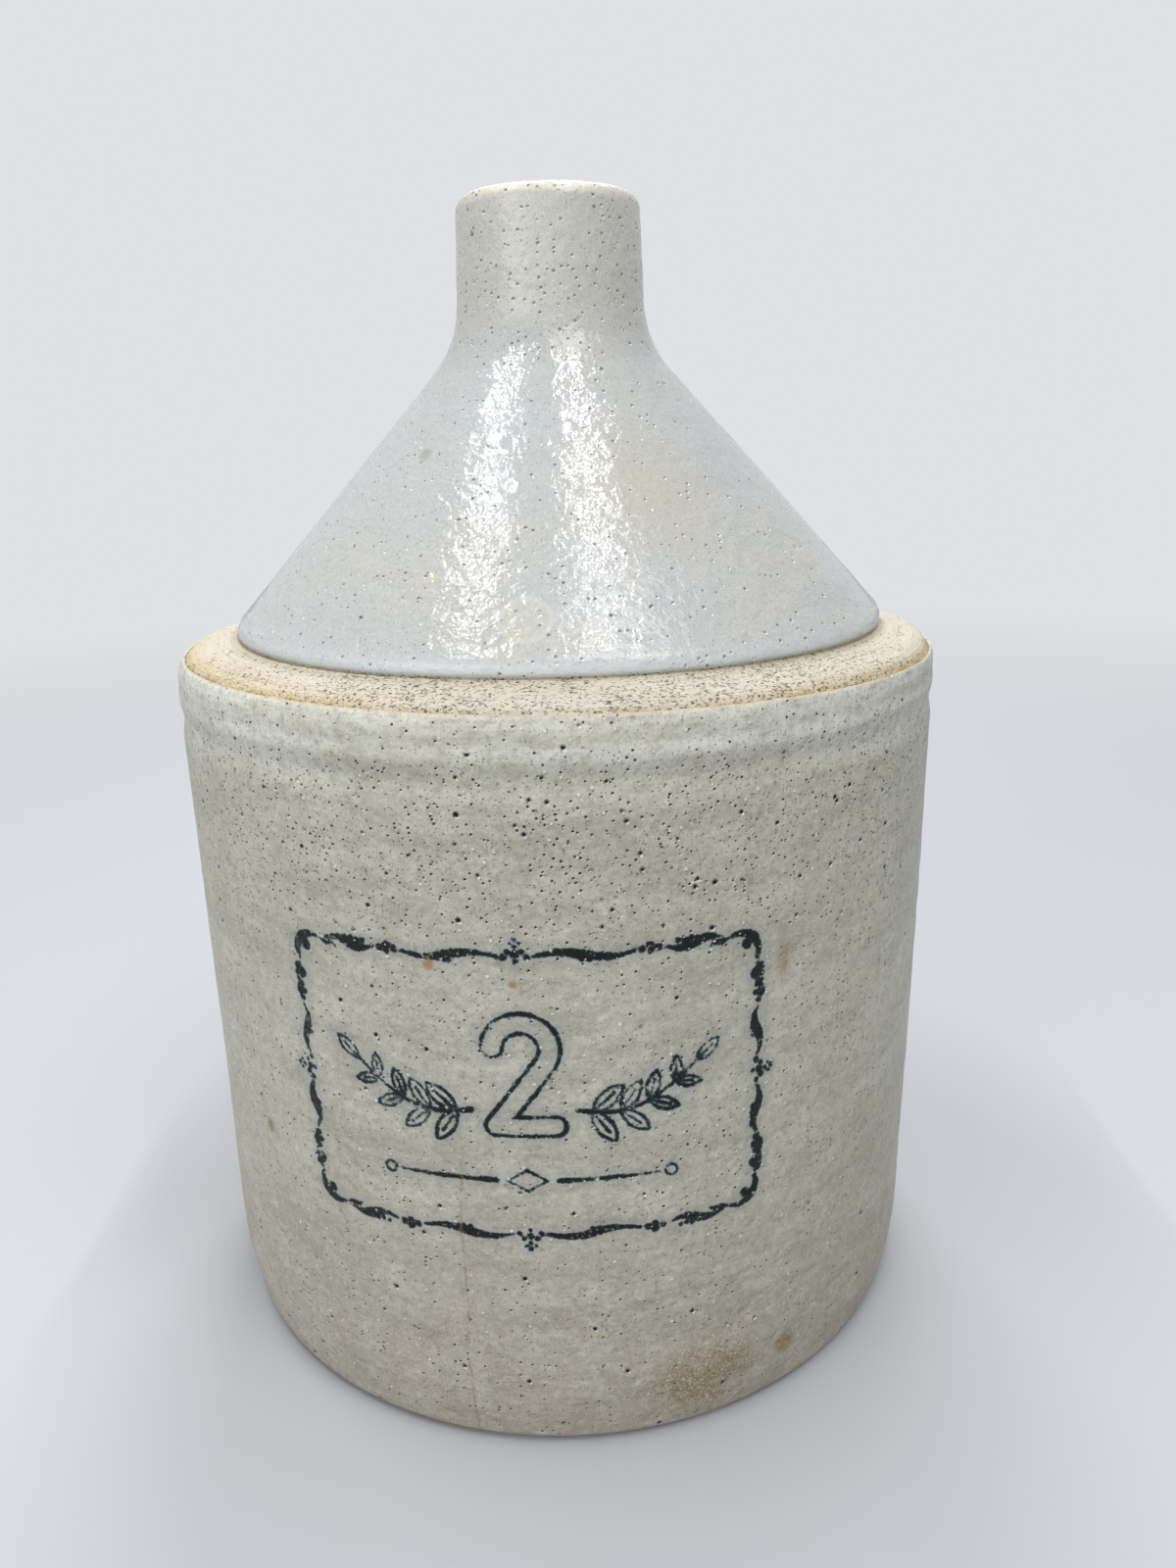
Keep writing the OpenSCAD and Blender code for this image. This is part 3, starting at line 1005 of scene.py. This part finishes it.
cork_top = cork_high.z
cork_radius = cork_high.x
cork_taper = (mouth_radius - mouth_low_radius) / (jug_height - mouth_edge - inner_turn)
cork_small = cork_radius - cork_taper * (cork_top - cork_low.z)
cork_outline = fine([
    (0.0, cork_low.z),
    (cork_small - bevel, cork_low.z),
    (cork_small, cork_low.z + bevel),
    (cork_radius, cork_top - bevel),
    (cork_radius - bevel, cork_top),
    (0.0, cork_top),
], 0.7 * MM)
stopper = turned("cork", cork_outline, cork_columns)
points, radius, azimuth, height = measured(stopper)
crumble = np.clip(waves(azimuth, height * 2, 17, 5 * MM, 40, seed=41), 0, 1) * 0.35 * MM
edge_near = np.exp(-((height - cork_top) / (1.6 * MM)) ** 2)
set_radius(points, radius - crumble * edge_near * (radius > cork_radius * 0.7), azimuth)
dip = np.clip(waves(points[:, 0] * 900, points[:, 1], 1, 6 * MM, 12, seed=42), 0, 1) * 0.3 * MM
points[:, 2] -= np.where(height > cork_top - 0.2 * MM, dip, 0)
write_points(stopper, points)

# %% [markdown]
# The wall's glaze is a satin grey-beige. It is pale in the band under the
# ledge, warm lower down, and pricked all over with pinholes where gas
# left the clay, most of all in the upper third. The print lies under the glaze:
# its ink has run a little, so it gets a soft bluish edge and a mottled body.

# %% Print on the wall
def printed_ink(where, base):
    """Lays the print over the glaze's colour."""
    stored = where.node("Attribute", {"attribute_name": "ink_distance"}, output="Fac")
    ink_distance = stored / MM
    blotch = clouds(where, 0.9 * MM, 7.0, 3.0, 0.6)
    patch = clouds(where, 6 * MM, 8.0)
    edge = ink_distance + (blotch - 0.5) * 1.3 + (patch - 0.5) * 1.1
    body = between(edge, 0.3, -0.12)
    thick = between(edge, 0.0, -0.4)
    worn = between(blotch + patch * 0.5, 0.86, 1.0) * 0.75
    haze = between(ink_distance + (patch - 0.5) * 4, 3.6, 0.0) * 0.3
    hazed = coat(haze, base, dye("76868a"))
    ink_colour = coat(thick, dye("1f3237"), dye("070c0c"))
    return coat(body * (1.0 - worn), hazed, ink_colour), body


# %% Finish of the wall
band_from, band_to = 0.182, 0.195
# Heights of the painted shade in the band's hollow and of the painted highlight on the raised line
# above it.
hollow_middle = 0.1937
ridge_middle = 0.1979
front_from, front_to = 0.205, 0.2057


def wall_glaze(where):
    height = part_of(where, UP)
    broad = clouds(where, 55 * MM, 1.0)
    middle = clouds(where, 13 * MM, 2.0, 3.0, 0.6)
    small = clouds(where, 2.4 * MM, 3.0, 3.0, 0.65)
    grain = clouds(where, 0.7 * MM, 5.0, 2.0, 0.7)
    rings = clouds(turning(where, 0.9, 36.0), 0.3, 4.0, 3.0)
    upper = between(height, 0.13, 0.18) * between(height, 0.203, 0.187)
    busy = (upper * 0.8 + broad * 0.55) * (between(middle, 0.35, 0.65) * 0.8 + 0.6)
    # The holes and pits get a painted highlight on their lower rims. The raised specks are real
    # bumps in the relief, with a painted highlight on them and painted shade below them.
    hole, hole_dent, hole_highlight = dots(where, grain, 4.4 * MM, 0.42 * MM, busy * 0.7 - 0.1, 0.31)
    pit, pit_dent, pit_highlight = dots(where, grain, 1.6 * MM, 0.22 * MM, busy, 0.17)
    prick, _, _ = dots(where, grain, 1.1 * MM, 0.18 * MM, busy * 0.6 + 0.1, 0.53)
    speck_bump_and_highlight, _, speck_underside_shade = dots(where, grain, 3.1 * MM, 0.36 * MM, 0.5, 0.77)

    # aside is 0 at the front of the jug and 1 at its left and right. The band's glaze is paler
    # than the wall, and the extra paleness towards the sides is a painted highlight.
    aside = between(abs(part_of(where, RIGHT)), 0.015, 0.08)
    # Painted shade along the hollow of the band and a painted highlight along the raised line just
    # above it, where light from above falls on the turned shape.
    wander = height + (broad - 0.5) * 0.004
    hollow = between(abs(wander - hollow_middle), 0.0036, 0.0012)
    ridge_highlight = between(abs(wander - ridge_middle), 0.0026, 0.0006)
    front = height - facing(where) * 0.0014 + (middle - 0.5) * 0.001
    colour = layers(
        coat(broad, dye("b9b8ac"), dye("b2b0a1")),
        (between(height, 0.11, 0.0) * 0.9, "a49d8c"),
        (between(height, band_from, band_to) * (aside * 0.45 + 0.5), "d2d3cb"),
        (hollow * 0.3, "8c8b80"),
        (ridge_highlight * 0.35, "e2e4dc"),
        (between(middle, 0.42, 0.68) * 0.35, "c7c5b9"),
        (between(middle, 0.5, 0.25) * 0.4, "a19d8c"),
        (between(rings, 0.45, 0.7) * 0.35, "969282"),
        (between(small, 0.45, 0.7) * 0.5, "928e80"),
        (between(small, 0.48, 0.3) * 0.3, "d0cfc5"),
        (between(grain, 0.52, 0.75) * 0.55, "7c776a"),
        (between(grain, 0.45, 0.25) * 0.4, "dbdad1"),
        (between(front, front_from, front_to) * 0.5, "b5aa8c"),
    )
    colour, inked = printed_ink(where, colour)
    # Painted highlights on the raised specks and on the lower rims of the pinholes, painted shade
    # below the raised specks, then the dark pinholes themselves.
    colour = layers(
        colour,
        (speck_bump_and_highlight * 0.5 + pit_highlight + hole_highlight, "f8f7f2"),
        (speck_underside_shade * 0.3, "6f6a5c"),
        (prick * 0.65, "3a3226"),
        (pit * 0.95, "17100a"),
        (hole, "0d0805"),
    )
    relief = rings * 1.8 + middle * 2.4 + small * 0.5 + grain * 0.06
    relief = relief + speck_bump_and_highlight * 0.25 - hole_dent - pit_dent * 0.5
    roughness = 0.32 + small * 0.2 - inked * 0.04
    return {"Base Color": stains(where, colour, grain), "Roughness": roughness, "relief": relief}


# %% Stains low on the wall
def stains(where, colour, grain):
    """Rust-brown patches, a drip and the long thin line of an old crack. The
    drip is twice as tall as wide, since heights are halved for it."""
    ragged = clouds(where, 5 * MM, 12.0, 4.0, 0.65)
    patchy = between(ragged, 0.25, 0.45)
    low = spot(where, 19.5, 0.0165, 0.02) * between(ragged, 0.25, 0.6)
    drip = spot(stretch(where, (1, 1, 0.5)), 30.2, 0.0696, 0.0045) * between(ragged, 0.3, 0.6)
    rust = spot(where, 32.6, 0.0182, 0.0055) + spot(where, -46.7, 0.0816, 0.003)
    on_border = spot(where, -15.6, 0.1453, 0.0022) + spot(where, -5.2, 0.1413, 0.0017)
    chip = spot(where, -46.0, 0.0059, 0.004)
    wander = (clouds(where, 30 * MM, 13.0) - 0.5) * 0.006
    crack = between(abs(part_of(where, RIGHT) + wander + 0.0262), 0.0007, 0.0001)
    crack = crack * between(part_of(where, UP), 0.098, 0.09) * between(ragged, 0.35, 0.55)
    crack = crack * between(part_of(where, BACK), 0.0, -0.05)
    return layers(
        colour,
        (low * between(grain, 0.35, 0.6) * 0.85, "7c683c"),
        (drip * 0.55, "8d6a3f"),
        (crack * 0.4, "7d6548"),
        (on_border * patchy * 0.85, "987a48"),
        (chip * 0.7, "6d5f4b"),
        (rust * patchy * 0.7, "7a6238"),
    )


pot_finish = finish("satin_wall_glaze", wall_glaze, Specular_IOR_Level=0.25)
dress(wall, pot_finish)

# %% [markdown]
# The cone's glaze is whiter and cooler, and much glossier. Fine dimples, a few
# brown specks and faint warm clouds keep it alive. On the neck it is thinner and
# full of pores, and over the lip it turns to cream.

# %% Finish of the cone
neck_from, neck_to = 0.288, 0.306
lip_from, lip_to = 0.3265, 0.33
foot_from, foot_to = 0.2175, 0.213


def cone_glaze(where):
    height = part_of(where, UP)
    broad = clouds(where, 40 * MM, 21.0)
    middle = clouds(where, 9 * MM, 22.0, 3.0, 0.6)
    peel = clouds(where, 3.4 * MM, 23.0, 2.0, 0.55)
    fine_peel = clouds(where, 1.3 * MM, 24.0, 2.0, 0.6)
    grain = clouds(where, 0.6 * MM, 25.0, 2.0, 0.7)
    on_neck = between(height, neck_from, neck_to)
    lip = between(height, lip_from, lip_to)
    foot = between(height, foot_from, foot_to)
    busy = 0.12 + on_neck * 0.45 + broad * 0.3 + lip * 0.5
    hole, hole_dent, hole_highlight = dots(where, grain, 5.2 * MM, 0.36 * MM, busy * 0.6, 0.37)
    pit, pit_dent, pit_highlight = dots(where, grain, 1.9 * MM, 0.28 * MM, busy * 0.9, 0.23)
    prick, _, _ = dots(where, grain, 1.1 * MM, 0.2 * MM, busy * 0.7 + 0.2, 0.59)

    # The lower rims of the cone's holes and pits carry a painted highlight.
    colour = layers(
        coat(between(broad, 0.3, 0.7), dye("b1b5b6"), dye("b3b4b0")),
        (between(middle, 0.5, 0.8) * 0.4, "c2bca9"),
        (between(middle, 0.5, 0.25) * 0.35, "acaeab"),
        (on_neck * 0.8, "c8c6be"),
        (between(fine_peel, 0.5, 0.7) * 0.2, "a5a69f"),
        (between(grain, 0.52, 0.75) * 0.45, "8f8f88"),
        (between(grain, 0.45, 0.25) * 0.4, "e4e6e6"),
        (foot * 0.65, "dbe1e6"),
        (lip * 0.7, "c9c2af"),
        (pit_highlight * 0.8 + hole_highlight * 0.8, "f8f8f6"),
        (prick * 0.5, "6c6454"),
        (pit * 0.7, "4a4030"),
        (hole * 0.8, "3a3024"),
    )
    relief = middle * 0.3 + peel * 0.5 + fine_peel * 0.15 + grain * 0.01
    relief = relief - hole_dent * 0.5 - pit_dent * 0.3
    roughness = 0.08 + fine_peel * 0.06 + on_neck * 0.18 + lip * 0.1 + foot * 0.3
    return {"Base Color": marks(where, colour), "Roughness": roughness, "relief": relief}


# %% Marks on the cone
ring_height = 0.2244
dimple_height = 0.2623
warm_height = 0.252


def marks(where, colour):
    """A pale ring where something stood on the wet glaze, a warm patch and painted shade in a
    small dent."""
    away = away_from(where, -3.4, ring_height, cone_reach(ring_height))
    ring = between(abs(away - 6.2 * MM), 1.1 * MM, 0.2 * MM)
    inside = between(away, 6.4 * MM, 5.4 * MM)
    # Painted shade in a small dent of the glaze.
    dimple_shade = spot(where, -37.1, dimple_height, 0.003, cone_reach(dimple_height))
    warm = spot(where, 21, warm_height, 0.03, cone_reach(warm_height))
    return layers(
        colour,
        (warm * 0.35, "b3ab96"),
        (inside * 0.35, "c2bfb0"),
        (ring * 0.2, "dcdcd2"),
        (dimple_shade * 0.35, "77705f"),
    )


cone_finish = finish("glossy_white_glaze", cone_glaze, IOR=1.52)
dress(shoulder, cone_finish)
dress(strap, cone_finish)

# %% [markdown]
# Bare stoneware is cream and matt. The rib that cut the ledge dragged small pores
# open, so they are short dark dashes along the turn, and glaze has bled into the
# two edges of the ledge and left them golden.

# %% Finish of the clay
ledge_from, ledge_to = 0.2, 0.2005
glaze_end = 0.2053
# Radii of the painted shade round the cone's foot.
contact_shade_from, contact_shade_to = 0.1005, 0.0983


def bare_clay(where):
    height = part_of(where, UP)
    streaks = clouds(turning(where, 1.1, 420.0), 0.3, 31.0, 4.0, 0.6)
    dashes = clouds(turning(where, 120.0, 1300.0), 0.9, 32.0, 2.0, 0.6)
    grit = clouds(where, 0.7 * MM, 33.0, 3.0, 0.7)
    broad = clouds(where, 22 * MM, 34.0)
    patchy = clouds(where, 6 * MM, 35.0, 3.0)
    pit, pit_dent, _ = dots(where, grit, 1.6 * MM, 0.3 * MM, 0.3 + broad * 0.4, 0.71)
    above = between(height, ledge_from, ledge_to)
    past_glaze = height - glaze_end - facing(where) * 0.00125 + (patchy - 0.5) * 0.0022
    golden = between(past_glaze, 0.0017, 0.0005) * above
    pale_gold = between(past_glaze, 0.0034, 0.0012) * above
    wander = (patchy - 0.5) * 0.002
    # Painted shade on the ledge where the cone's foot meets it: a darker olive ring round the
    # foot.
    foot_contact_shade = between(radius_of(where) + wander, contact_shade_from, contact_shade_to) * above
    aside = between(abs(part_of(where, RIGHT)), 0.02, 0.07)
    in_front = between(part_of(where, BACK), -0.03, -0.1)
    dash = between(dashes + (broad - 0.5) * 0.14, 0.56, 0.62) * in_front

    colour = layers(
        coat(broad, dye("cdc7bb"), dye("c6bfaf")),
        (between(streaks, 0.45, 0.7) * 0.5, "b3a78f"),
        (between(grit, 0.5, 0.75) * 0.5, "9d9079"),
        (between(grit, 0.45, 0.2) * 0.45, "f0ece2"),
        (foot_contact_shade * 0.35, "aea284"),
        (pale_gold * aside * 0.4, "c7ae74"),
        (golden * between(patchy, 0.42, 0.6) * 0.8, "b39a62"),
        (dash * 0.7, "5f5240"),
        (pit * 0.8, "3d3020"),
        (golden * between(grit, 0.58, 0.7) * 0.85, "3f301c"),
    )
    relief = streaks * 0.4 + grit * 0.2 - dash * 0.3 - pit_dent * 0.3
    return {"Base Color": colour, "relief": relief}


clay_finish = finish("bare_stoneware", bare_clay, Roughness=0.85, IOR=1.4)
dress(clay, clay_finish)
dress(shoulder_clay, clay_finish)
dress(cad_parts["luting_slip"], clay_finish)

# %% Finish of the lining
def brown_slip(where):
    runs = clouds(turning(where, 3.0, 9.0), 0.25, 41.0, 3.0)
    relief = runs * 0.4 + clouds(where, 6 * MM, 42.0) * 0.15
    return {"Base Color": coat(runs, dye("4b2f1c"), dye("6d4a2c")), "relief": relief}


dress(inner, finish("brown_slip_glaze", brown_slip, Roughness=0.2, IOR=1.5))

# %% Finish of the cork
def cork_bark(where):
    grain = clouds(stretch(where, (1, 2.2, 1)), 2.2 * MM, 51.0, 4.0, 0.6)
    lenticels = between(clouds(stretch(where, (0.35, 1.6, 1)), 1.5 * MM, 52.0), 0.62, 0.7)
    crumbs, _, _ = dots(where, grain, 1.6 * MM, 0.4 * MM, 0.8, 0.9)
    bark = coat(grain, dye("9c7446"), dye("c69c68"))
    colour = layers(bark, (lenticels * 0.85, "4a2f19"), (crumbs * 0.6, "6b4626"))
    relief = grain * 0.25 - lenticels * 0.5 - crumbs * 0.3
    return {"Base Color": colour, "relief": relief}


dress(stopper, finish("bark_cork", cork_bark, Roughness=0.85))

# %% [markdown]
# The studio is plain: a pale floor, an even pale surround, and two long narrow
# lamps overhead that run from front to back. They draw the two bright streaks
# down the cone. Soft wide lamps above, in front, at the left and behind do the
# rest, with some light from the ceiling, which opens the shadows. Far from the
# jug the floor takes the surround's colour for the camera, so no horizon shows.

# %% Floor
pale = dye("dfe1e4")
bpy.ops.mesh.primitive_circle_add(vertices=96, radius=6, fill_type="NGON")
floor = bpy.context.object
floor.name = "floor"


def floor_finish():
    """A matt floor, which glows like the surround where it is far away."""
    material = bpy.data.materials.new("studio_floor")
    material.use_nodes = True
    tree = material.node_tree
    near = tree.nodes["Principled BSDF"]
    near.inputs["Base Color"].default_value = dye("bcbec3")
    near.inputs["Roughness"].default_value = 0.9
    near.inputs["Specular IOR Level"].default_value = 0.2
    where = Wire(tree).node("TexCoord", output="Object")
    seen = where.node("LightPath", output="Is Camera Ray")
    far = between(vector("LENGTH", where, None, 1), 0.35, 1.5) * seen
    glow = where.node("Emission", None, {"Color": pale, "Strength": 1.0})
    inputs = {0: far, 1: Wire(tree, near.outputs[0]), 2: glow}
    mixed = where.node("MixShader", None, inputs)
    tree.links.new(mixed.socket, tree.nodes["Material Output"].inputs["Surface"])
    return material


dress(floor, floor_finish())

# %% Surround
world = bpy.data.worlds.new("studio")
bpy.context.scene.world = world
world.use_nodes = True
sky = Wire(world.node_tree)
path = sky.node("LightPath", output="Is Camera Ray")
seen = path.math("MAXIMUM", path, path.also("Is Glossy Ray"))
upwards = part_of(sky.node("TexCoord", output="Generated"), UP)
ceiling = between(upwards, -0.1, 1.0) * 0.45 + 0.05
inputs = {"Color": (0.98, 0.99, 1.0, 1.0), "Strength": ceiling}
fill = sky.node("Background", None, inputs)
shown = sky.node("Background", None, {"Color": pale, "Strength": 1.0})
surround = sky.node("MixShader", None, {0: seen, 1: fill, 2: shown})
world_output = world.node_tree.nodes["World Output"]
world.node_tree.links.new(surround.socket, world_output.inputs["Surface"])

# %% Lamps
strip_height = 1.45
lamps = (
    ("strip_left", (-0.47, 0.0, strip_height), (-0.47, 0.0, 0), 0.022, 0.9, 6),
    ("strip_right", (0.22, 0.0, strip_height), (0.22, 0.0, 0), 0.022, 0.9, 6),
    ("soft_top", (0.5, -0.9, 1.8), (0, 0, 0.12), 1.0, 0.8, 11),
    ("soft_front", (-0.2, -2.0, 0.6), (0, 0, 0.15), 1.4, 1.0, 6),
    ("soft_left", (-1.2, -1.4, 0.7), (0, 0, 0.15), 1.0, 0.9, 10),
    ("soft_behind", (0.0, 1.3, 1.5), (0, 0, 0.2), 0.7, 0.7, 14),
)
for name, place, aim, wide, long, watts in lamps:
    way = Vector(aim) - Vector(place)
    rotation = way.to_track_quat("-Z", "Y").to_euler()
    bpy.ops.object.light_add(type="AREA", location=place, rotation=rotation)
    lamp = bpy.context.object
    lamp.name = name
    lamp.data.shape = "RECTANGLE"
    lamp.data.size = wide
    lamp.data.size_y = long
    lamp.data.energy = watts
    print("lamp", name, "gives", round(watts / (wide * long), 1), "W per square metre")

# %% [markdown]
# Last, each new piece is tied to the body that it moves with, and the plain solid that it stands
# in for is hidden. The cork is the only piece that leaves the jug.

# %% Tie the pieces to their bodies
stand_ins = (
    (wall, "jug", "pot_glaze", "pot_glaze"),
    (clay, "jug", "pot_body", "bare_clay"),
    (shoulder, "jug", "shoulder_glaze", "shoulder_glaze"),
    (shoulder_clay, "jug", "shoulder_neck", "shoulder_clay"),
    (inner, "jug", "inner_lining", "lining"),
    (strap, "jug", "strap_handle", "handle_glaze"),
    (stopper, "stopper", "cork_stopper", "cork"),
)
for piece, body, node, slot in stand_ins:
    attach(piece, body)
    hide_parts(node)

# %% Plain view
bpy.context.scene.view_settings.view_transform = "Standard"
